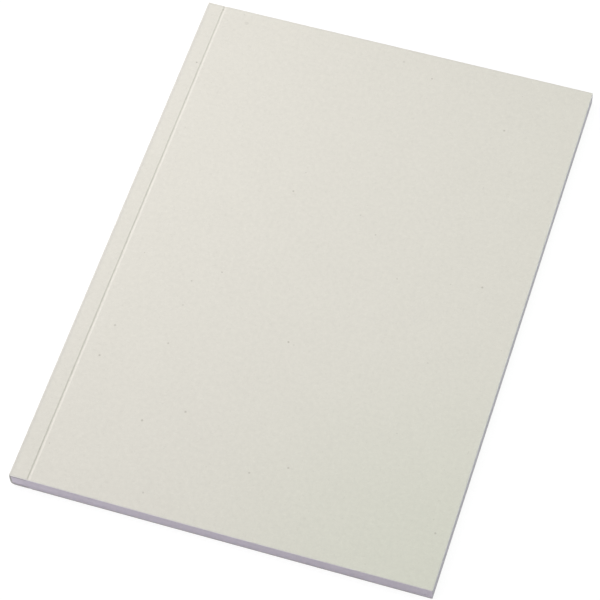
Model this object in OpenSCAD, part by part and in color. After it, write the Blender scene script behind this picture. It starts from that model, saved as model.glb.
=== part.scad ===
/* [Format] */
// Width from the back of the spine to the fore edge
book_w = 148; // [105:1:210]
// Height from the tail edge to the head edge
book_h = 210; // [148:1:297]

/* [Pages] */
// Number of sheets in the block
sheet_count = 52; // [24:1:100]
// Thickness of one sheet
sheet_t = 0.1; // [0.07:0.005:0.13]
// Height of the gap that shows between two sheets at the cut edges
sheet_gap = 0.02; // [0.01:0.005:0.04]
// Depth of that gap behind the cut edges
sheet_gap_depth = 0.4; // [0.1:0.1:1.5]

/* [Cover] */
// Thickness of the cover card
card_t = 0.42; // [0.25:0.01:0.6]
// Distance from the back of the spine to the scored hinge line
hinge_inset = 6.8; // [5:0.1:12]
// Width of the score pressed into the outside of the card
score_w = 1.4; // [0.8:0.1:2.4]
// Depth of the score
score_depth = 0.14; // [0.05:0.01:0.2]

/* [Spine] */
// How far the middle of the spine stands out behind its two ends
spine_bulge = 0.25; // [0.1:0.05:0.6]
// Outside radius of the fold between the spine and the front cover
front_fold_r = 0.6; // [0.6:0.05:1.2]
// Outside radius of the softer fold between the spine and the back cover
back_fold_r = 1.6; // [0.8:0.1:2]

/* [Glue] */
// Thickness of the glue between the sheets and the spine
spine_glue_t = 0.4; // [0.2:0.05:0.7]
// Thickness of the side glue, and so of the air between a cover and the pages
side_glue_t = 0.08; // [0.05:0.01:0.2]
// Distance that the side glue keeps from the scored hinge line
glue_margin = 0.9; // [0.5:0.1:2]

/* [Hidden] */

block_t = sheet_count * sheet_t;
book_t = block_t + 2 * side_glue_t + 2 * card_t;
spine_x = -book_w / 2;
fore_x = book_w / 2;
hinge_x = spine_x + hinge_inset;
glue_end_x = hinge_x - glue_margin;

// The back of the spine is an arc through its bulge, centred at half the thickness
half_t = book_t / 2;
spine_arc_r = (half_t * half_t + spine_bulge * spine_bulge) / (2 * spine_bulge);
spine_arc_x = spine_x + spine_arc_r;

// Insets from the outer surface to the inside of the card and to the sheets
page_face_inset = card_t + side_glue_t;
page_spine_inset = card_t + spine_glue_t;

// Smallest radius left where a fold is thinner than its inset
min_fold_r = 0.05;
// Segments of each fold, of the spine arc and of each half of the score
fold_steps = 12;
spine_steps = 10;
score_steps = 8;
// Overshoot of the cutting shapes
over = 1;

function arc(centre, r, from, to, steps) =
    [for (i = [0:steps])
        let (a = from + (to - from) * i / steps)
        centre + r * [cos(a), sin(a)]];

function fold_r(r, inset) = max(r - inset, min_fold_r);

// Centre of a fold of radius r that touches the spine arc and the upper cover face
// on side 1, or the lower one on side -1
function fold_centre(r, side, face_inset, spine_inset) =
    let (
        z = side > 0 ? book_t - face_inset - r : face_inset + r,
        reach = spine_arc_r - spine_inset - r,
        rise = z - half_t
    )
    [spine_arc_x - sqrt(reach * reach - rise * rise), z];

// The section of the wrapped spine, from the front face round to the back face,
// moved in by face_inset at the covers and by spine_inset at the spine
function spine_path(face_inset, spine_inset) =
    let (
        rf = fold_r(front_fold_r, spine_inset),
        rb = fold_r(back_fold_r, spine_inset),
        cf = fold_centre(rf, 1, face_inset, spine_inset),
        cb = fold_centre(rb, -1, face_inset, spine_inset),
        centre = [spine_arc_x, half_t],
        af = 180 - asin((cf[1] - half_t) / (spine_arc_r - spine_inset - rf)),
        ab = 180 - asin((cb[1] - half_t) / (spine_arc_r - spine_inset - rb)),
        back = arc(centre, spine_arc_r - spine_inset, af, ab, spine_steps)
    )
    concat(
        arc(cf, rf, 90, af, fold_steps),
        [for (i = [1:spine_steps - 1]) back[i]],
        arc(cb, rb, ab, 270, fold_steps)
    );

function reversed(points) = [for (i = [len(points) - 1:-1:0]) points[i]];

// Depth of the score at a distance from the hinge line
function score_at(distance) = score_depth * (1 + cos(360 * distance / score_w)) / 2;

// Points of half a score, from the hinge line outwards, on side -1 or +1 of it
function half_score(side) =
    [for (i = [0:score_steps])
        let (d = i / score_steps * score_w / 2)
        [hinge_x + side * d, score_at(d)]];

function raised(points) = [for (p = points) [p[0], book_t - p[1]]];

// Carries a section drawn across the book along its whole height
module along_book() {
    rotate([90, 0, 0])
        linear_extrude(height = book_h, center = true)
            children();
}

// Plan of the gap between two sheets, open at the head, the tail and the fore edge
module sheet_gap_plan() {
    difference() {
        translate([spine_x - over, -book_h / 2 - over])
            square([book_w + 2 * over, book_h + 2 * over]);
        translate([spine_x - 2 * over, -book_h / 2 + sheet_gap_depth])
            square([book_w + 2 * over - sheet_gap_depth, book_h - 2 * sheet_gap_depth]);
    }
}

// Trimmed block of blank sheets, one solid whose cut edges show every sheet
module page_block() {
    color("lavender")
        difference() {
            along_book()
                polygon(concat(
                    [[fore_x, page_face_inset], [fore_x, book_t - page_face_inset]],
                    spine_path(page_face_inset, page_spine_inset)
                ));
            for (i = [1:sheet_count - 1])
                translate([0, 0, page_face_inset + i * sheet_t - sheet_gap / 2])
                    linear_extrude(height = sheet_gap)
                        sheet_gap_plan();
        }
}

// Glue along the spine, with the side glue that holds the hinge strips
module spine_glue() {
    color("gainsboro")
        along_book()
            polygon(concat(
                [[glue_end_x, book_t - card_t]],
                spine_path(card_t, card_t),
                [[glue_end_x, card_t], [glue_end_x, page_face_inset]],
                reversed(spine_path(page_face_inset, page_spine_inset)),
                [[glue_end_x, book_t - page_face_inset]]
            ));
}

// Spine of the cover with the two strips glued to the pages, up to the scores
module cover_spine() {
    color("#dfdcd3")
        along_book()
            polygon(concat(
                raised(half_score(-1)),
                spine_path(0, 0),
                reversed(half_score(-1)),
                [[hinge_x, card_t]],
                reversed(spine_path(card_t, card_t)),
                [[hinge_x, book_t - card_t]]
            ));
}

// Section of a cover that lies with its outer face at z = 0
function flap_section() = concat(
    half_score(1),
    [[fore_x, 0], [fore_x, card_t], [hinge_x, card_t]]
);

// Front cover from its score to the fore edge
module front_cover() {
    color("#dfdcd3")
        along_book()
            polygon(raised(flap_section()));
}

// Back cover from its score to the fore edge
module back_cover() {
    color("#dfdcd3")
        along_book()
            polygon(flap_section());
}

page_block();
spine_glue();
cover_spine();
front_cover();
back_cover();
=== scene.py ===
"""Softcover notebook: a block of blank sheets glued into a scored wraparound cover of recycled card."""
import math
import random

import bmesh
import bpy
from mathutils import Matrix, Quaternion, Vector


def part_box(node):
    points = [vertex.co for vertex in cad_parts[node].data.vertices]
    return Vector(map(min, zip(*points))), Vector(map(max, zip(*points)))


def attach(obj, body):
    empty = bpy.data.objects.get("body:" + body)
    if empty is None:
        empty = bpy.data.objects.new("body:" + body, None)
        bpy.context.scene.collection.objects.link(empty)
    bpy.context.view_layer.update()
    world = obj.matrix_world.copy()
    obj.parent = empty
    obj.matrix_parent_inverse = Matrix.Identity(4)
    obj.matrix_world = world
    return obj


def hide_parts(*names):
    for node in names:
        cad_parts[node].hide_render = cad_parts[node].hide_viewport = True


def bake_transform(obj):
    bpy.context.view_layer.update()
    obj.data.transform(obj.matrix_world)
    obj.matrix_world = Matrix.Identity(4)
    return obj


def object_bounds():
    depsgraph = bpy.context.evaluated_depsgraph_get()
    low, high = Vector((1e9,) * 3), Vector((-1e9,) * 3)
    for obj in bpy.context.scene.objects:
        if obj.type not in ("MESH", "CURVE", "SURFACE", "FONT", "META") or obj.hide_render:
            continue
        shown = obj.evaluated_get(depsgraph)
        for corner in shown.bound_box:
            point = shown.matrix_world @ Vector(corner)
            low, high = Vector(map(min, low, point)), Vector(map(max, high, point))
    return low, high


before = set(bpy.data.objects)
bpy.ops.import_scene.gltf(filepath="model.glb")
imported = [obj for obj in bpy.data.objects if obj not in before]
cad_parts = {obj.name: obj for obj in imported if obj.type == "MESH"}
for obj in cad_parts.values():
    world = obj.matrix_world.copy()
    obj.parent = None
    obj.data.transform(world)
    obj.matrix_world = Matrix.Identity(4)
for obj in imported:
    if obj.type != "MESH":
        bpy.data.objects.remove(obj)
cad_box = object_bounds()

MM = 0.001
ALONG = Vector((0, 1, 0))
ACROSS = Vector((1, 0, 0))
UP = Vector((0, 0, 1))

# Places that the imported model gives
cover_low, cover_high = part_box("front_cover")
block_low, block_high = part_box("page_block")
tail_y, head_y = cover_low.y, cover_high.y
hinge_x, fore_x = cover_low.x, cover_high.x
book_t = cover_high.z
card_t = cover_high.z - cover_low.z
spine_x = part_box("cover_spine")[0].x
book_h = head_y - tail_y

# Folds of the cover round the block; the spine keeps a little play for its lean
front_fold_r = 0.5 * MM
back_fold_r = 1.6 * MM
spine_bulge = 0.25 * MM
spine_play = 0.04 * MM
fold_steps = 8
spine_steps = 8

# Painted shade greys the front fold, most on one line in its rounding, which the lamp would light; the
# head edge is painted a little darker too
fold_shade = 0.36
head_darkening = 0.12
darkened_band_w = 1.3 * MM
shaded_fold_line = 0.6 * front_fold_r

# The two pieces of card meet on the strip that is glued under the block
seam_x = spine_x + 3.5 * MM

# Score along the front cover, which runs a little askew and is deepest at the tail;
# its wall on the spine side is the steeper one
score_head_x = hinge_x + 0.15 * MM
score_tail_x = hinge_x + 0.4 * MM
score_w = 1.5 * MM
score_head_depth = 0.2 * MM
score_tail_depth = 0.27 * MM
score_skew = -0.25
score_fade = 1 * MM
score_end_share = 0.7
score_cuts = 16
score_brink = 0.1 * MM

# Small dent where the scoring blade came down, near the head
dent_from_head = 1.5 * MM
dent_r = 0.6 * MM
dent_depth = 0.12 * MM

# Guillotined edges of the card, and how wide their rims are: a painted highlight on the front cover's
# rims, painted shade on the others
corner_r = 0.3 * MM
front_edge_r = 0.3 * MM
inner_edge_r = 0.04 * MM
edge_steps = 3
sharp_angle = math.radians(60)
rim_w = 0.2 * MM
fore_rim_w = 0.4 * MM

# Cuts in the card: so far from its ends, from the front fold and from the fore edge, and
# this many evenly spaced between
end_rows = [0.4 * MM, 0.9 * MM, 1.2 * MM, 1.5 * MM, 1.8 * MM, 2.5 * MM, 5 * MM]
middle_rows = 19
fold_columns = [0.3 * MM, 0.6 * MM, 1.2 * MM, 1.8 * MM]
fore_columns = [0.4 * MM, 0.9 * MM, 2 * MM]
middle_columns = 15

# Sheets of the block
sheet_count = 52
sheet_pitch = (block_high.z - block_low.z) / sheet_count
sheet_thin = 0.88
sheet_thick = 0.97
sheet_edge_r = 0.015 * MM
cut_w = 0.25 * MM
trim_play = 0.015 * MM
short_sheet_by = 0.09 * MM
short_sheets = (8, 9, 47)
sheet_rows = 13
sheet_columns = 8
sheet_seed = 52

# What lies within this distance of an end of a sheet moves with that end
end_room = 1 * MM

# The outer sheets are darker at their cut edges at the spine, up to the glue's end, and each next one
# less so
glue_end_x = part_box("spine_glue")[1].x
spine_end_fade = 0.5 * MM
darker_outer_sheets = 8

# Glue that the guillotine tore out at the two ends
glue_pits = [(5.5 * MM, 0.5 * MM), (3.2 * MM, 0.8 * MM)]
glue_pit_r = 0.5 * MM
glue_short = 0.04 * MM
glue_end_w = 0.3 * MM
glue_end_rows = [0.5 * MM, 1.2 * MM, 2.5 * MM]
glue_rows = 13

# How the book has settled: the cover sags over the block and the corners lift
head_sag = 0.1 * MM
tail_drop = 0.15 * MM
tail_sag = 0.6 * MM
sag_x = 5 * MM
sag_reach = 80 * MM
sag_start = 10 * MM
corner_lift = 0.1 * MM
corner_lift_power = 6
spine_lean = 0.19 * MM
spine_hollow = 0.05 * MM
fore_slip = 0.05 * MM
cage_points = (13, 9, 3)

# Points and cuts nearer to each other than this fall together
same_place = 0.001 * MM

# Faces that turn less than this count as flat, or are shaded as one surface
flat_angle = math.radians(1)
smooth_angle = math.radians(40)


# Ways of working

def deselect():
    if bpy.context.object and bpy.context.object.mode == "EDIT":
        bpy.ops.object.mode_set(mode="OBJECT")
    bpy.ops.object.select_all(action="DESELECT")


def work_on(piece):
    """Makes a piece the only selected one."""
    deselect()
    piece.select_set(True)
    bpy.context.view_layer.objects.active = piece


def name_and_size(piece, name, size):
    """Names a new primitive, gives it its size and puts its place into its mesh."""
    piece.name = name
    piece.data.name = name
    piece.scale = size
    bpy.ops.object.transform_apply(location=True, rotation=True, scale=True)
    return piece


def edit(piece):
    work_on(piece)
    bpy.ops.object.mode_set(mode="EDIT")


def leave_edit():
    bpy.ops.object.mode_set(mode="OBJECT")


def pick_edges(piece, test):
    """Selects the edges that pass the test."""
    bpy.ops.mesh.select_mode(type="EDGE")
    bpy.ops.mesh.select_all(action="DESELECT")
    mesh = bmesh.from_edit_mesh(piece.data)
    for edge in mesh.edges:
        if test(edge):
            edge.select_set(True)
    bmesh.update_edit_mesh(piece.data)


def cut_across(places, normal):
    """Cuts everything along the planes through the places."""
    for spot in places:
        bpy.ops.mesh.select_all(action="SELECT")
        bpy.ops.mesh.bisect(plane_co=spot, plane_no=normal, threshold=same_place)


def apply_modifier(piece, kind, **values):
    """Adds a modifier with these values and applies it."""
    work_on(piece)
    modifier = piece.modifiers.new(kind.lower(), kind)
    for key, value in values.items():
        setattr(modifier, key, value)
    bpy.ops.object.modifier_apply(modifier=modifier.name)


def near(a, b, room=0.01 * MM):
    return abs(a - b) < room


def steps_between(first, last, count):
    """Evenly spaced numbers between two ends, without the ends."""
    return [first + (last - first) * i / (count + 1) for i in range(1, count + 1)]


def smooth_step(x):
    x = min(max(x, 0), 1)
    return x * x * (3 - 2 * x)


def store(piece, name, kind, values):
    """Keeps a value for each point of the mesh, for the materials to read."""
    attribute = piece.data.attributes.new(name, kind, "POINT")
    field = "vector" if kind == "FLOAT_VECTOR" else "value"
    attribute.data.foreach_set(field, [c for v in values for c in v] if field == "vector" else values)


# Section of the folded spine

half_t = book_t / 2
spine_arc_r = (half_t ** 2 + spine_bulge ** 2) / (2 * spine_bulge)
spine_arc_x = spine_x + spine_play + spine_arc_r
spine_middle = Vector((spine_arc_x, 0, half_t))


def fold_centre(r, z):
    """Middle of a fold of outside radius r that touches the spine's arc."""
    reach = spine_arc_r - r
    return Vector((spine_arc_x - math.sqrt(reach ** 2 - (z - half_t) ** 2), 0, z))


def lean(centre, r):
    """How far the spine leans over where it leaves a fold."""
    return math.asin((centre.z - half_t) / (spine_arc_r - r))


front_fold = fold_centre(front_fold_r, book_t - front_fold_r)
back_fold = fold_centre(back_fold_r, back_fold_r)


def depth_in_card(p):
    """How deep a point lies behind the outer face of the cover."""
    if p.z > front_fold.z:
        if p.x > front_fold.x:
            return book_t - p.z
        return front_fold_r - math.hypot(p.x - front_fold.x, p.z - front_fold.z)
    if p.z > back_fold.z:
        return spine_arc_r - math.hypot(p.x - spine_middle.x, p.z - spine_middle.z)
    if p.x > back_fold.x:
        return p.z
    return back_fold_r - math.hypot(p.x - back_fold.x, p.z - back_fold.z)


def unrolled(p):
    """Where a point lies on the sheet of card before it is folded."""
    fold_x = front_fold.x
    if p.z > front_fold.z and p.x > fold_x:
        return (p.x, p.y, 0)
    if p.x < back_fold.x:
        return (fold_x - (book_t - p.z), p.y, 0)
    return (fold_x - book_t - (p.x - back_fold.x), p.y, 0)


# Cover

def row_places():
    """Cuts across the card, with more of them near its head and its tail."""
    rows = [tail_y + d for d in end_rows] + [head_y - d for d in end_rows]
    rows += steps_between(tail_y + end_rows[-1], head_y - end_rows[-1], middle_rows)
    return [ALONG * y for y in rows]


def column_places():
    """Cuts along the card, with more of them near the front fold and the fore edge."""
    columns = [front_fold.x + d for d in fold_columns]
    columns += steps_between(hinge_x + score_w, fore_x - fore_columns[-1], middle_columns)
    columns += [fore_x - d for d in fore_columns]
    return [ACROSS * x for x in columns]


def score_centre(y):
    """Where the middle of the score lies, this far along the book."""
    return score_head_x + (score_tail_x - score_head_x) * (head_y - y) / book_h


def cut_card(card):
    """Gives a flat piece of card the rows and columns that its score and its sag need."""
    slant = Vector((score_tail_x - score_head_x, tail_y - head_y, 0))
    middle = ACROSS * ((score_head_x + score_tail_x) / 2)
    offsets = [score_w * (i / score_cuts - 0.5) for i in range(score_cuts + 1)]
    offsets += [-score_w / 2 - score_brink, score_w / 2 + score_brink]
    cut_across(column_places(), ACROSS)
    cut_across([middle + ACROSS * d for d in offsets], slant.cross(UP).normalized())
    cut_across(row_places(), ALONG)


def round_corners(card):
    """Rounds the two free corners of a cover in plan."""
    bpy.ops.mesh.select_mode(type="VERT")
    bpy.ops.mesh.select_all(action="DESELECT")
    mesh = bmesh.from_edit_mesh(card.data)
    for v in mesh.verts:
        if near(v.co.x, fore_x) and (near(v.co.y, tail_y) or near(v.co.y, head_y)):
            v.select_set(True)
    bmesh.update_edit_mesh(card.data)
    bpy.ops.mesh.bevel(offset=corner_r, segments=edge_steps, affect="VERTICES")


def turn_last_edge(steps, angle, centre):
    """Folds the card further: turns its last edge round the middle of a bend."""
    bpy.ops.mesh.spin(steps=steps, angle=angle, center=centre, axis=ALONG)


def fold_front_card():
    """Front cover, spine and the first strip of the back: one sheet of card."""
    left = front_fold.x
    deselect()
    bpy.ops.mesh.primitive_plane_add(size=1, location=((left + fore_x) / 2, 0, book_t))
    card = name_and_size(bpy.context.object, "front_card", (fore_x - left, book_h, 1))
    edit(card)
    pick_edges(card, lambda edge: all(near(v.co.x, left) for v in edge.verts))
    front_lean = lean(front_fold, front_fold_r)
    back_lean = lean(back_fold, back_fold_r)
    turn_last_edge(fold_steps, math.pi / 2 - front_lean, front_fold)
    turn_last_edge(spine_steps, front_lean - back_lean, spine_middle)
    turn_last_edge(fold_steps, math.pi / 2 + back_lean, back_fold)
    stretch = (seam_x - back_fold.x, 0, 0)
    bpy.ops.mesh.extrude_region_move(TRANSFORM_OT_translate={"value": stretch})
    round_corners(card)
    cut_card(card)
    bpy.ops.mesh.select_all(action="SELECT")
    bpy.ops.mesh.normals_make_consistent(inside=False)
    leave_edit()
    return card


def lay_back_card():
    """Back cover with the rest of the strip that is glued under the block."""
    deselect()
    bpy.ops.mesh.primitive_plane_add(size=1, location=((seam_x + fore_x) / 2, 0, 0))
    card = name_and_size(bpy.context.object, "back_card", (fore_x - seam_x, book_h, 1))
    edit(card)
    round_corners(card)
    cut_card(card)
    bpy.ops.mesh.select_all(action="SELECT")
    bpy.ops.mesh.flip_normals()
    leave_edit()
    return card


def round_rim(card, outer_r):
    """Rounds the guillotined edges of a piece of card, most at the front; its seam stays square."""
    def sharp(edge):
        at_seam = all(near(v.co.x, seam_x) and v.co.z < half_t for v in edge.verts)
        return not at_seam and edge.calc_face_angle(0) > sharp_angle

    def outer(edge):
        return depth_in_card((edge.verts[0].co + edge.verts[1].co) / 2) < card_t / 2

    edit(card)
    mesh = bmesh.from_edit_mesh(card.data)
    share = mesh.edges.layers.float.new("bevel_weight_edge")
    least = inner_edge_r / outer_r
    for edge in mesh.edges:
        if sharp(edge) and outer(edge):
            middle_z = (edge.verts[0].co.z + edge.verts[1].co.z) / 2
            edge[share] = least + (1 - least) * smooth_step(middle_z / half_t)
    bmesh.update_edit_mesh(card.data)
    leave_edit()
    apply_modifier(card, "BEVEL", width=outer_r, segments=edge_steps, limit_method="WEIGHT",
                   use_clamp_overlap=False)
    card.data.attributes.remove(card.data.attributes["bevel_weight_edge"])
    edit(card)
    pick_edges(card, lambda edge: sharp(edge) and not outer(edge))
    bpy.ops.mesh.bevel(offset=inner_edge_r, segments=1, affect="EDGES")
    leave_edit()


def press_score(card, outer_z, direction):
    """Presses the score into the outer face; it runs out at the head and the tail."""
    for v in card.data.vertices:
        across = (v.co.x - score_centre(v.co.y)) / (score_w / 2)
        if abs(across) >= 1 or not near(v.co.z, outer_z, front_edge_r):
            continue
        wall = 1 + score_skew if across < score_skew else 1 - score_skew
        to_head = head_y - v.co.y
        fade = smooth_step(min(v.co.y - tail_y, to_head) / score_fade)
        depth = score_head_depth + (score_tail_depth - score_head_depth) * to_head / book_h
        depth *= score_end_share + (1 - score_end_share) * fade
        depth += dent_depth * smooth_step(1 - abs(to_head - dent_from_head) / dent_r)
        v.co.z += direction * depth * (1 + math.cos(math.pi * (across - score_skew) / wall)) / 2


def darken_share(p):
    """How much the card is painted darker: painted shade most along the front fold, a little darkening at
    the head.
    """
    if p.z < half_t:
        return 0
    fold = fold_shade * (1 - smooth_step(abs(unrolled(p)[0] - front_fold.x + shaded_fold_line) / darkened_band_w))
    head = head_darkening * (1 - smooth_step((head_y - p.y) / darkened_band_w))
    return max(fold, head)


def rim(p):
    """1 on the cut faces of the card, fading over the width of the rim."""
    inwards = min((p.y - tail_y) / rim_w, (head_y - p.y) / rim_w, (fore_x - p.x) / fore_rim_w)
    return 1 - smooth_step(inwards)


def finish_card(card, outer_z, direction, outer_r):
    """Gives the card its thickness, its rims and its score, and keeps what its finish reads."""
    apply_modifier(card, "SOLIDIFY", thickness=card_t, offset=-1, use_even_offset=True)
    round_rim(card, outer_r)
    press_score(card, outer_z, direction)
    places = [v.co for v in card.data.vertices]
    store(card, "unrolled", "FLOAT_VECTOR", [unrolled(p) for p in places])
    rims = [rim(p) for p in places]
    on_front = [1 if p.x > front_fold.x and p.z > half_t else 0 for p in places]
    darkened_values = [darken_share(p) for p in places]
    # Painted highlight on the front cover's cut rims; painted shade on the other cut rims, on the front
    # fold, and a darker head edge
    store(card, "rim_highlight", "FLOAT", [r * f for r, f in zip(rims, on_front)])
    store(card, "card_darkening", "FLOAT", [max(w, r * (1 - f)) for w, r, f in zip(darkened_values, rims, on_front)])
    return card


# Block of sheets

glue_gap = block_low.x - spine_x - card_t


def cut_sheet():
    """One sheet, with all its cut edges a little rounded."""
    size = (block_high.x - block_low.x, book_h, sheet_pitch)
    middle = ((block_low.x + block_high.x) / 2, 0, block_low.z + sheet_pitch / 2)
    deselect()
    bpy.ops.mesh.primitive_cube_add(size=1, location=middle)
    sheet = name_and_size(bpy.context.object, "page_stack", size)
    edit(sheet)
    bpy.ops.mesh.bevel(offset=sheet_edge_r, segments=1, affect="EDGES")
    columns = steps_between(hinge_x, block_high.x, sheet_columns)
    columns += [glue_end_x - spine_end_fade, hinge_x, fore_x - cut_w]
    rows = steps_between(tail_y, head_y, sheet_rows) + [tail_y + cut_w, head_y - cut_w]
    cut_across([ACROSS * x for x in columns], ACROSS)
    cut_across([ALONG * y for y in rows], ALONG)
    leave_edit()
    edges = [min(v.co.y - tail_y, head_y - v.co.y, fore_x - v.co.x) for v in sheet.data.vertices]
    store(sheet, "cut_edge", "FLOAT", [1 - smooth_step(e / cut_w) for e in edges])
    return sheet


def inner_spine_x(z):
    """Left ends of the sheets: they follow the glue round the two folds."""
    wall = card_t + glue_gap
    x = spine_arc_x - math.sqrt((spine_arc_r - wall) ** 2 - (z - half_t) ** 2)
    r = back_fold_r - wall
    if z < back_fold.z:
        x = back_fold.x - math.sqrt(max(r * r - (back_fold.z - z) ** 2, 0))
    return x


def place_sheet(mesh, number, rng):
    """Moves a copied sheet to its place in the block; no two are cut quite alike."""
    thickness = rng.uniform(sheet_thin, sheet_thick)
    trims = [rng.uniform(0, trim_play) for _ in range(3)]
    if number in short_sheets:
        trims = [short_sheet_by] * 3
    low = block_low.z + sheet_pitch * number
    left = inner_spine_x(low + sheet_pitch / 2)
    for v in mesh.vertices:
        v.co.z = low + (v.co.z - block_low.z) * thickness
        if v.co.x < block_low.x + end_room:
            v.co.x += left - block_low.x
        if v.co.x > fore_x - end_room:
            v.co.x -= trims[0]
        if v.co.y > head_y - end_room:
            v.co.y -= trims[1]
        if v.co.y < tail_y + end_room:
            v.co.y += trims[2]


def stack_sheets():
    """The whole block: copies of one sheet, from the bottom to the top."""
    first = cut_sheet()
    rng = random.Random(sheet_seed)
    plain = first.data.copy()
    sheets = [first]
    for number in range(sheet_count):
        sheet = first if number == 0 else bpy.data.objects.new("sheet", plain.copy())
        if number:
            bpy.context.collection.objects.link(sheet)
            sheets.append(sheet)
        place_sheet(sheet.data, number, rng)
        store(sheet, "sheet_tone", "FLOAT", [rng.random()] * len(sheet.data.vertices))
        # The outer sheets are darker at their spine ends, each next one less so
        darker_by = max(0, 1 - min(number, sheet_count - 1 - number) / darker_outer_sheets)
        ends = [darker_by if v.co.x < glue_end_x else 0 for v in sheet.data.vertices]
        store(sheet, "outer_end_dark", "FLOAT", ends)
    deselect()
    for sheet in sheets:
        sheet.select_set(True)
    bpy.context.view_layer.objects.active = first
    bpy.ops.object.join()
    bpy.data.meshes.remove(plain)
    return first


# Glue

def pour_glue():
    """Spine glue: a merged copy of its solid, with pits at both ends."""
    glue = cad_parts["spine_glue"].copy()
    glue.data = glue.data.copy()
    bpy.context.collection.objects.link(glue)
    for key in list(glue.keys()):
        del glue[key]
    glue.parent = None
    glue.name = "binding"
    glue.data.name = "binding"
    edit(glue)
    bpy.ops.mesh.select_all(action="SELECT")
    bpy.ops.mesh.remove_doubles(threshold=same_place)
    bpy.ops.mesh.dissolve_limited(angle_limit=flat_angle)
    rows = [tail_y + d for d in glue_end_rows] + [head_y - d for d in glue_end_rows]
    rows += steps_between(tail_y + glue_end_rows[-1], head_y - glue_end_rows[-1], glue_rows)
    cut_across([ALONG * y for y in rows], ALONG)
    leave_edit()
    for v in glue.data.vertices:
        to_end = min(v.co.y - tail_y, head_y - v.co.y)
        if to_end > glue_end_w or v.co.x > block_low.x + end_room:
            continue
        depth = glue_short
        for z, pit in glue_pits:
            depth += pit * max(0, 1 - abs(v.co.z - z) / glue_pit_r)
        v.co.y -= math.copysign(depth, v.co.y)
    return glue


# The whole book has settled a little

def settle_shift(x, y, z):
    """How far a point of the straight book moves as it lies."""
    to_tail = (head_y - y) / book_h
    spread = min(abs(x - sag_x) / sag_reach, 1)
    sag = (head_sag * (1 - to_tail) + tail_drop * to_tail) * smooth_step((x - hinge_x) / sag_start)
    sag += tail_sag * to_tail * math.cos(math.pi / 2 * spread) ** 2
    lift = corner_lift * (0.5 + 0.5 * to_tail) * abs(x / fore_x) ** corner_lift_power
    lean_out = (spine_lean - spine_hollow * (1 - (y / head_y) ** 2)) * smooth_step(-x / fore_x)
    slip = fore_slip * to_tail * smooth_step(x / fore_x)
    top = z / book_t
    over_middle = max(0, 2 * top - 1)
    return Vector((-(lean_out + slip) * over_middle, 0, lift * (1 - top) - sag * top))


def make_cage():
    """A lattice round the book, whose points hold the settling."""
    data = bpy.data.lattices.new("settling")
    data.points_u, data.points_v, data.points_w = cage_points
    data.interpolation_type_u = data.interpolation_type_v = "KEY_CATMULL_ROM"
    data.interpolation_type_w = "KEY_LINEAR"
    cage = bpy.data.objects.new("settling", data)
    bpy.context.collection.objects.link(cage)
    size = cad_box[1] - cad_box[0]
    middle = (cad_box[0] + cad_box[1]) / 2
    span = data.points[-1].co - data.points[0].co
    cage.scale = [s / c for s, c in zip(size, span)]
    cage.location = middle
    for point in data.points:
        rest = Vector([m + c * s for m, c, s in zip(middle, point.co, cage.scale)])
        shift = settle_shift(*rest)
        point.co_deform = point.co + Vector([d / s for d, s in zip(shift, cage.scale)])
    bpy.context.view_layer.update()
    return cage


# Nodes

def new_group(name, inputs, outputs):
    """A shader node group with named inputs, each with its default, and named outputs."""
    group = bpy.data.node_groups.new(name, "ShaderNodeTree")
    for socket, kind, value in inputs:
        made = group.interface.new_socket(socket, in_out="INPUT", socket_type=kind)
        if value is not None:
            made.default_value = value
    for socket, kind in outputs:
        group.interface.new_socket(socket, in_out="OUTPUT", socket_type=kind)
    return group, group.nodes.new("NodeGroupInput"), group.nodes.new("NodeGroupOutput")


def fill_inputs(tree, node, inputs):
    """Sets each of these inputs to a value, or links it to another node's socket."""
    for key, value in inputs.items():
        if isinstance(value, bpy.types.NodeSocket):
            tree.links.new(value, node.inputs[key])
        else:
            node.inputs[key].default_value = value


def add_node(tree, kind, inputs=None, **settings):
    """Adds a node, sets it up and fills its inputs."""
    node = tree.nodes.new("ShaderNode" + kind)
    for key, value in settings.items():
        setattr(node, key, value)
    fill_inputs(tree, node, inputs or {})
    return node


def place_group(tree, group, inputs):
    """Adds a copy of a node group and fills its inputs."""
    node = tree.nodes.new("ShaderNodeGroup")
    node.node_tree = group
    fill_inputs(tree, node, inputs)
    return node


def math_node(tree, operation, a, b=0.0):
    return add_node(tree, "Math", {0: a, 1: b}, operation=operation).outputs[0]


def about_zero(tree, noise):
    """A noise with its middle value at zero."""
    return math_node(tree, "SUBTRACT", noise, 0.5)


def ramp(tree, value, low, high, to_low=0.0, to_high=1.0):
    """Maps a value smoothly from one range to another."""
    inputs = {"Value": value, "From Min": low, "From Max": high, "To Min": to_low, "To Max": to_high}
    return add_node(tree, "MapRange", inputs, interpolation_type="SMOOTHSTEP").outputs["Result"]


def mix_colour(tree, factor, a, b, blend="MIX"):
    """Mixes two colours; they are sockets 6 and 7 of the node, and the mixed one is its output 2."""
    inputs = {0: factor, 6: a, 7: b}
    return add_node(tree, "Mix", inputs, data_type="RGBA", blend_type=blend).outputs[2]


def grey_level(tree, level):
    """A colour with the same level in all three parts."""
    return add_node(tree, "CombineColor", {"Red": level, "Green": level, "Blue": level}).outputs[0]


# Outlines of the flecks, specks and fibres: how finely and how widely they wander, and
# between which shares of their size they fade
fleck_grain = 2500.0
fleck_wander = 0.4 * MM
fleck_fade = (0.5, 1.3)
fleck_least = 0.6
fleck_spread = 0.8
speck_grain = 4000.0
speck_fade = (0.6, 1.3)
fibre_fade = (0.3, 1.0)
fibre_gap_fade = (0.95, 1.1)


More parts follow.
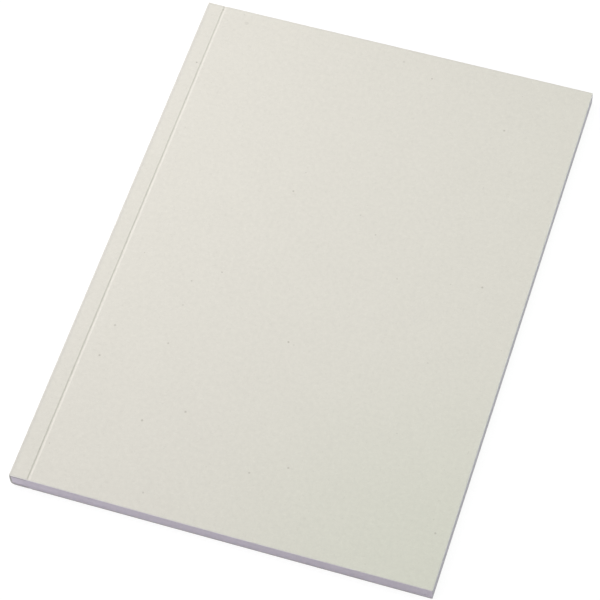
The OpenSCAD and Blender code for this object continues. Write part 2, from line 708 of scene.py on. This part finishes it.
def make_pulp():
    """Cloudy unevenness of pressed pulp: a tint to multiply a colour by, and a height."""
    group, into, out = new_group(
        "pulp",
        [("Vector", "NodeSocketVector", None), ("Grain", "NodeSocketFloat", 900.0),
         ("Grain Depth", "NodeSocketFloat", 0.08), ("Cloud", "NodeSocketFloat", 60.0),
         ("Cloud Depth", "NodeSocketFloat", 0.02)],
        [("Tint", "NodeSocketColor"), ("Height", "NodeSocketFloat")])
    take = into.outputs
    grain = add_node(group, "TexNoise", {"Vector": take["Vector"], "Scale": take["Grain"], "Detail": 3.0,
                                         "Roughness": 0.6})
    cloud = add_node(group, "TexNoise", {"Vector": take["Vector"], "Scale": take["Cloud"], "Detail": 3.0})
    fine = math_node(group, "MULTIPLY", about_zero(group, grain.outputs[0]), take["Grain Depth"])
    wide = math_node(group, "MULTIPLY", about_zero(group, cloud.outputs[0]), take["Cloud Depth"])
    tone = math_node(group, "ADD", math_node(group, "ADD", fine, wide), 1.0)
    group.links.new(grey_level(group, tone), out.inputs["Tint"])
    group.links.new(grain.outputs[0], out.inputs["Height"])
    return group


def make_flecks():
    """Scattered flecks: a mask that is 1 in the middle of each."""
    group, into, out = new_group(
        "flecks",
        [("Vector", "NodeSocketVector", None), ("Cells", "NodeSocketFloat", 60.0),
         ("Share", "NodeSocketFloat", 0.2), ("Radius", "NodeSocketFloat", 0.00025),
         ("Stretch", "NodeSocketFloat", 1.0)],
        [("Mask", "NodeSocketFloat")])
    take = into.outputs
    ragged = add_node(group, "TexNoise", {"Vector": take["Vector"], "Scale": fleck_grain, "Detail": 2.0})
    wobble = math_node(group, "MULTIPLY", about_zero(group, ragged.outputs[0]), fleck_wander)
    place = add_node(group, "VectorMath", {0: take["Vector"], 1: wobble}, operation="ADD")
    apart = add_node(group, "SeparateXYZ", {0: place.outputs[0]})
    longer = math_node(group, "MULTIPLY", apart.outputs[1], take["Stretch"])
    flat = add_node(group, "CombineXYZ", {0: apart.outputs[0], 1: longer})
    cells = add_node(group, "TexVoronoi", {"Vector": flat.outputs[0], "Scale": take["Cells"]},
                     voronoi_dimensions="2D")
    chance = add_node(group, "SeparateColor", {0: cells.outputs["Color"]})
    chosen = math_node(group, "LESS_THAN", chance.outputs[0], take["Share"])
    size = math_node(group, "MULTIPLY", chance.outputs[1], fleck_spread)
    size = math_node(group, "ADD", size, fleck_least)
    radius = math_node(group, "MULTIPLY", take["Radius"], take["Cells"])
    radius = math_node(group, "MULTIPLY", radius, size)
    inside = math_node(group, "DIVIDE", cells.outputs["Distance"], radius)
    spot = ramp(group, inside, *fleck_fade, 1.0, 0.0)
    mask = math_node(group, "MULTIPLY", spot, chosen)
    group.links.new(mask, out.inputs["Mask"])
    return group


def make_fibres():
    """Curly fibres in the pulp: a mask along broken level lines of a noise."""
    group, into, out = new_group(
        "fibres",
        [("Vector", "NodeSocketVector", None), ("Scale", "NodeSocketFloat", 500.0),
         ("Width", "NodeSocketFloat", 0.02), ("Share", "NodeSocketFloat", 0.5)],
        [("Mask", "NodeSocketFloat")])
    take = into.outputs
    lay = add_node(group, "TexNoise", {"Vector": take["Vector"], "Scale": take["Scale"], "Detail": 1.0})
    gaps = add_node(group, "TexNoise", {"Vector": take["Vector"], "Scale": take["Scale"], "Detail": 2.0,
                                        "Distortion": 2.0})
    off_line = math_node(group, "ABSOLUTE", about_zero(group, lay.outputs[0]))
    line = ramp(group, math_node(group, "DIVIDE", off_line, take["Width"]), *fibre_fade, 1.0, 0.0)
    kept = ramp(group, math_node(group, "ADD", gaps.outputs[0], take["Share"]), *fibre_gap_fade)
    group.links.new(math_node(group, "MULTIPLY", line, kept), out.inputs["Mask"])
    return group


def make_speck():
    """One dark speck at a chosen place, with a ragged outline."""
    group, into, out = new_group(
        "speck",
        [("Vector", "NodeSocketVector", None), ("Place", "NodeSocketVector", None),
         ("Radius", "NodeSocketFloat", 0.00025)],
        [("Mask", "NodeSocketFloat")])
    take = into.outputs
    ragged = add_node(group, "TexNoise", {"Vector": take["Vector"], "Scale": speck_grain, "Detail": 2.0})
    away = add_node(group, "VectorMath", {0: take["Vector"], 1: take["Place"]}, operation="DISTANCE")
    share = math_node(group, "DIVIDE", away.outputs["Value"], take["Radius"])
    share = math_node(group, "ADD", share, about_zero(group, ragged.outputs[0]))
    group.links.new(ramp(group, share, *speck_fade, 1.0, 0.0), out.inputs["Mask"])
    return group


def new_material(name, roughness, specular):
    """A material on one shader, with its steady values set."""
    material = bpy.data.materials.new(name)
    material.use_nodes = True
    tree = material.node_tree
    shader = tree.nodes["Principled BSDF"]
    shader.inputs["Roughness"].default_value = roughness
    shader.inputs["Specular IOR Level"].default_value = specular
    return material, tree, shader


def read_value(tree, name):
    """A value that the mesh keeps for its points."""
    return add_node(tree, "Attribute", attribute_name=name).outputs["Fac"]


def add_bump(tree, shader, height, strength, depth):
    bump = add_node(tree, "Bump", {"Height": height, "Strength": strength, "Distance": depth})
    tree.links.new(bump.outputs[0], shader.inputs["Normal"])


def seen_directly(tree):
    """1 for what the camera sees by itself, in gloss or through glass, 0 for what lights the book."""
    seen = tree.nodes.new("ShaderNodeLightPath")
    direct = math_node(tree, "MAXIMUM", seen.outputs["Is Camera Ray"], seen.outputs["Is Glossy Ray"])
    return math_node(tree, "MAXIMUM", direct, seen.outputs["Is Transmission Ray"])


def choose_shader(tree, factor, first, second, output):
    """Sends one of two shaders to the output."""
    choose = tree.nodes.new("ShaderNodeMixShader")
    fill_inputs(tree, choose, {0: factor, 1: first, 2: second})
    tree.links.new(choose.outputs[0], tree.nodes[output].inputs["Surface"])


# Materials

card_colour = (0.745, 0.722, 0.655, 1)
# A painted highlight for the front cover's cut rims
highlight_rim_colour = (0.97, 0.95, 0.93, 1)
# Painted shade for the front fold and the cut rims off the front cover, and the darker head edge
card_darkened_colour = (0.50, 0.495, 0.475, 1)
# Painted shade: the card is a little darker, with a faint green tinge, toward its lower corner
corner_shade_tint = (0.955, 0.985, 0.95, 1)
corner_shade_reach = 110 * MM
fleck_colour = (0.42, 0.39, 0.33, 1)
fibre_colour = (0.86, 0.84, 0.78, 1)
paper_colour = (0.86, 0.82, 0.89, 1)
paper_shade = (0.78, 0.745, 0.81, 1)
paper_cut_tint = (0.82, 0.80, 0.83, 1)
glue_colour = (0.58, 0.57, 0.565, 1)
dark_grey_tone = (0.42, 0.39, 0.405, 1)

# How finely and how deeply the pulp of each stuff is clouded
card_pulp = {"Grain": 600.0, "Grain Depth": 0.12, "Cloud Depth": 0.03}
paper_pulp = {"Grain": 1500.0, "Grain Depth": 0.05, "Cloud": 90.0}
glue_pulp = {"Grain": 1800.0, "Grain Depth": 0.25, "Cloud": 500.0}

# Fibres and flecks in the card
pale_fibres = {"Scale": 620.0, "Width": 0.03, "Share": 0.55}
grey_fibres = {"Scale": 480.0, "Width": 0.022, "Share": 0.5}
stray_flecks = {"Cells": 45.0, "Share": 0.25, "Radius": 0.14 * MM, "Stretch": 0.2}
small_flecks = {"Cells": 140.0, "Share": 0.4, "Radius": 0.15 * MM}
large_flecks = {"Cells": 45.0, "Share": 0.35, "Radius": 0.22 * MM}

# The flecks that show most: place across and along the cover and radius, in millimetres,
# and how dark they are
placed_flecks = [
    (16, 94.5, 0.32, 0.6), (47.5, 79.5, 0.4, 0.5), (-17.5, 32.5, 0.35, 0.6), (28.5, 7.5, 0.32, 0.35),
    (58, 12.5, 0.38, 0.55), (-60.5, -52, 0.38, 0.58), (-25, -64.5, 0.4, 0.52), (-38, -72, 0.42, 0.56),
    (15, -75, 0.38, 0.48), (3, -80.5, 0.35, 0.47), (-28.5, -98, 0.35, 0.4), (69, -84.5, 0.36, 0.53),
    (-67.4, 103.2, 0.4, 0.25), (-57, 99.5, 0.8, 0.2), (8.5, 29.5, 0.27, 0.42), (16, 23, 0.28, 0.5),
    (-31, -7.5, 0.3, 0.53), (-40, -14, 0.32, 0.42), (-59.5, -39, 0.44, 0.4), (0, -28, 0.36, 0.65),
    (-39.5, -40.5, 0.33, 0.5), (4, 99, 0.5, 0.25), (-69, 77, 0.36, 0.55),
]

# Roughness of the surfaces: how strong and how deep their bumps are
card_bump = (0.15, 0.02 * MM)
paper_bump = (0.1, 0.02 * MM)
glue_bump = (0.3, 0.03 * MM)

# How far the tones of the sheets differ, and where the dust on the glue begins and covers it
sheet_tone_share = 0.4
dust_fade = (0.45, 0.7)


def card_material(pulp, flecks, fibres, speck):
    """Uncoated recycled card: cloudy pulp, pale and grey fibres and dark flecks, with a painted highlight
    on the front cover's cut edge, painted shade on its other cut edges, on the front fold and toward the
    lower fore corner, and a darker head edge.
    """
    material, tree, shader = new_material("recycled_card", roughness=0.9, specular=0.3)
    sheet = add_node(tree, "Attribute", attribute_name="unrolled").outputs["Vector"]
    cloudy = place_group(tree, pulp, {"Vector": sheet, **card_pulp})
    colour = mix_colour(tree, 1.0, card_colour, cloudy.outputs["Tint"], "MULTIPLY")
    layers = [(fibres, pale_fibres, 0.18, fibre_colour), (fibres, grey_fibres, 0.08, fleck_colour),
              (flecks, stray_flecks, 0.25, fleck_colour), (flecks, small_flecks, 0.2, fleck_colour),
              (flecks, large_flecks, 0.35, fleck_colour)]
    for group, sizes, strength, tone in layers:
        layer = place_group(tree, group, {"Vector": sheet, **sizes})
        share = math_node(tree, "MULTIPLY", layer.outputs["Mask"], strength)
        colour = mix_colour(tree, share, colour, tone)
    # Painted shade toward the lower fore corner, with a faint green tinge
    away = add_node(tree, "VectorMath", {0: sheet, 1: (fore_x, tail_y, 0)}, operation="DISTANCE")
    corner_shading = ramp(tree, away.outputs["Value"], 0.0, corner_shade_reach, 1.0, 0.0)
    colour = mix_colour(tree, corner_shading, colour, corner_shade_tint, "MULTIPLY")
    # Painted shade on the front fold and on the cut rims off the front cover; the head edge a little
    # darker
    colour = mix_colour(tree, read_value(tree, "card_darkening"), colour, card_darkened_colour)
    # Painted highlight on the front cover's cut rims
    colour = mix_colour(tree, read_value(tree, "rim_highlight"), colour, highlight_rim_colour)
    for x, y, r, darkness in placed_flecks:
        spot = place_group(tree, speck, {"Vector": sheet, "Place": (x * MM, y * MM, 0), "Radius": r * MM})
        share = math_node(tree, "MULTIPLY", spot.outputs["Mask"], darkness)
        colour = mix_colour(tree, share, colour, fleck_colour)
    tree.links.new(colour, shader.inputs["Base Color"])
    add_bump(tree, shader, cloudy.outputs["Height"], *card_bump)
    return material


def paper_material(pulp):
    """Writing paper: every sheet has its own tone, and the outer sheets are darker at their cut edges
    near the spine.
    """
    material, tree, shader = new_material("writing_paper", roughness=0.85, specular=0.3)
    place = add_node(tree, "TexCoord").outputs["Object"]
    cloudy = place_group(tree, pulp, {"Vector": place, **paper_pulp})
    cut = read_value(tree, "cut_edge")
    tone = math_node(tree, "MULTIPLY", read_value(tree, "sheet_tone"), sheet_tone_share)
    # The outer sheets' cut edges are darker near the spine
    spine_end_dark = math_node(tree, "MULTIPLY", read_value(tree, "outer_end_dark"), cut)
    colour = mix_colour(tree, tone, paper_colour, paper_shade)
    colour = mix_colour(tree, cut, colour, paper_cut_tint, "MULTIPLY")
    colour = mix_colour(tree, spine_end_dark, colour, dark_grey_tone)
    colour = mix_colour(tree, 1.0, colour, cloudy.outputs["Tint"], "MULTIPLY")
    tree.links.new(colour, shader.inputs["Base Color"])
    add_bump(tree, shader, cloudy.outputs["Height"], *paper_bump)
    return material


def glue_material(pulp):
    """Milky hot-melt glue with paper dust on its cut ends."""
    material, tree, shader = new_material("binding_glue", roughness=0.55, specular=0.4)
    place = add_node(tree, "TexCoord").outputs["Object"]
    cloudy = place_group(tree, pulp, {"Vector": place, **glue_pulp})
    dust = ramp(tree, cloudy.outputs["Height"], *dust_fade)
    colour = mix_colour(tree, dust, glue_colour, dark_grey_tone)
    colour = mix_colour(tree, 1.0, colour, cloudy.outputs["Tint"], "MULTIPLY")
    tree.links.new(colour, shader.inputs["Base Color"])
    add_bump(tree, shader, cloudy.outputs["Height"], *glue_bump)
    return material


def floor_material():
    """White floor: white to the camera, but for a soft shadow under the book."""
    material, tree, shader = new_material("white_floor", roughness=0.9, specular=0.0)
    shader.inputs["Base Color"].default_value = (floor_white, floor_white, floor_white, 1)
    pale = tree.nodes.new("ShaderNodeBsdfDiffuse")
    pale.inputs["Color"].default_value = (shadow_depth, shadow_depth, shadow_depth, 1)
    place = add_node(tree, "TexCoord").outputs["Object"]
    away = add_node(tree, "VectorMath", {0: place}, operation="LENGTH").outputs["Value"]
    level = ramp(tree, away, studio_half, 2 * studio_half, near_white, 1.0)
    glow = add_node(tree, "Emission", {"Color": grey_level(tree, level)})
    both = add_node(tree, "AddShader", {0: pale.outputs[0], 1: glow.outputs[0]})
    choose_shader(tree, seen_directly(tree), shader.outputs[0], both.outputs[0], "Material Output")
    return material


# Studio

floor_half = 4.0
floor_white = 0.8
floor_drop = 0.12 * MM
shadow_depth = 0.15
room_light = 0.25

# Near the book the lamps give the floor this much light, and its own white makes up the rest
lamp_level = 0.85
white_level = 1.035
near_white = white_level - lamp_level * shadow_depth
studio_half = 0.4

# Lamps: name, place and size in metres, watts and colour
lamps = [
    ("key", (-0.3, 0.12, 0.5), (0.3, 1.0), 3.53, (1.0, 0.985, 1.0)),
    ("front", (-0.95, -0.82, 0.3), (0.5, 0.5), 5.5, (0.985, 0.975, 1.0)),
    ("side", (0.48, 0.05, 0.22), (0.15, 0.15), 0.54, (0.84, 1.0, 0.84)),
]


def lay_floor():
    """A wide floor just below the book."""
    deselect()
    bpy.ops.mesh.primitive_plane_add(size=2 * floor_half, location=(0, 0, -floor_drop))
    floor = bpy.context.object
    floor.name = "floor"
    floor.data.materials.append(floor_material())


def fill_room():
    """Even light from all round, and a white background."""
    world = bpy.data.worlds.new("room")
    bpy.context.scene.world = world
    world.use_nodes = True
    tree = world.node_tree
    room = tree.nodes["Background"]
    room.inputs["Color"].default_value = (1.0, 1.0, 1.0, 1)
    room.inputs["Strength"].default_value = room_light
    white = tree.nodes.new("ShaderNodeBackground")
    white.inputs["Color"].default_value = (1, 1, 1, 1)
    white.inputs["Strength"].default_value = 1.0
    choose_shader(tree, seen_directly(tree), room.outputs[0], white.outputs[0], "World Output")


def hang_lamp(name, place, size, watts, colour):
    """A soft box that faces the book, with its width level and its height upright."""
    lamp = bpy.data.lights.new(name, "AREA")
    lamp.shape = "RECTANGLE"
    lamp.size, lamp.size_y = size
    lamp.energy = watts
    lamp.color = colour
    hung = bpy.data.objects.new(name, lamp)
    hung.location = place
    hung.rotation_euler = (-Vector(place)).to_track_quat("-Z", "Y").to_euler()
    bpy.context.collection.objects.link(hung)


camera_place = Vector((170.52, -485.23, 805.09)) * MM
camera_aim = Vector((-1.32, -10.68, 6.0)) * MM
camera_roll = math.radians(-2.692)
camera_lens = 162.95
camera_film_w = 36
camera_range = (0.05, 20)


def set_camera():
    """The camera of the photograph."""
    camera = bpy.data.cameras.new("camera")
    camera.lens = camera_lens
    camera.sensor_width = camera_film_w
    camera.clip_start, camera.clip_end = camera_range
    stand = bpy.data.objects.new("camera", camera)
    stand.location = camera_place
    turn = (camera_aim - camera_place).to_track_quat("-Z", "Y") @ Quaternion((0, 0, 1), camera_roll)
    stand.rotation_euler = turn.to_euler()
    bpy.context.collection.objects.link(stand)
    bpy.context.scene.camera = stand


# Making the notebook

def finish_shape(piece, cage, material):
    """Lets the piece settle with the book, shades it smooth and gives it its finish."""
    apply_modifier(piece, "LATTICE", object=cage)
    piece.data.materials.clear()
    piece.data.materials.append(material)
    work_on(piece)
    bpy.ops.object.shade_smooth_by_angle(angle=smooth_angle)


pulp = make_pulp()
flecks = make_flecks()
card_finish = card_material(pulp, flecks, make_fibres(), make_speck())

front_card = finish_card(fold_front_card(), book_t, -1, front_edge_r)
back_card = finish_card(lay_back_card(), 0, 1, inner_edge_r)
page_stack = stack_sheets()
binding = pour_glue()

cage = make_cage()
finish_shape(front_card, cage, card_finish)
finish_shape(back_card, cage, card_finish)
finish_shape(page_stack, cage, paper_material(pulp))
finish_shape(binding, cage, glue_material(pulp))
bpy.data.objects.remove(cage)

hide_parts("cover_spine", "front_cover")
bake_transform(front_card)
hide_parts("back_cover")
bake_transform(back_card)
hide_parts("page_block")
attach(page_stack, "bound_block")
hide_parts("spine_glue")
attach(binding, "bound_block")

lay_floor()
fill_room()
for lamp in lamps:
    hang_lamp(*lamp)
set_camera()
bpy.context.scene.view_settings.view_transform = "Standard"
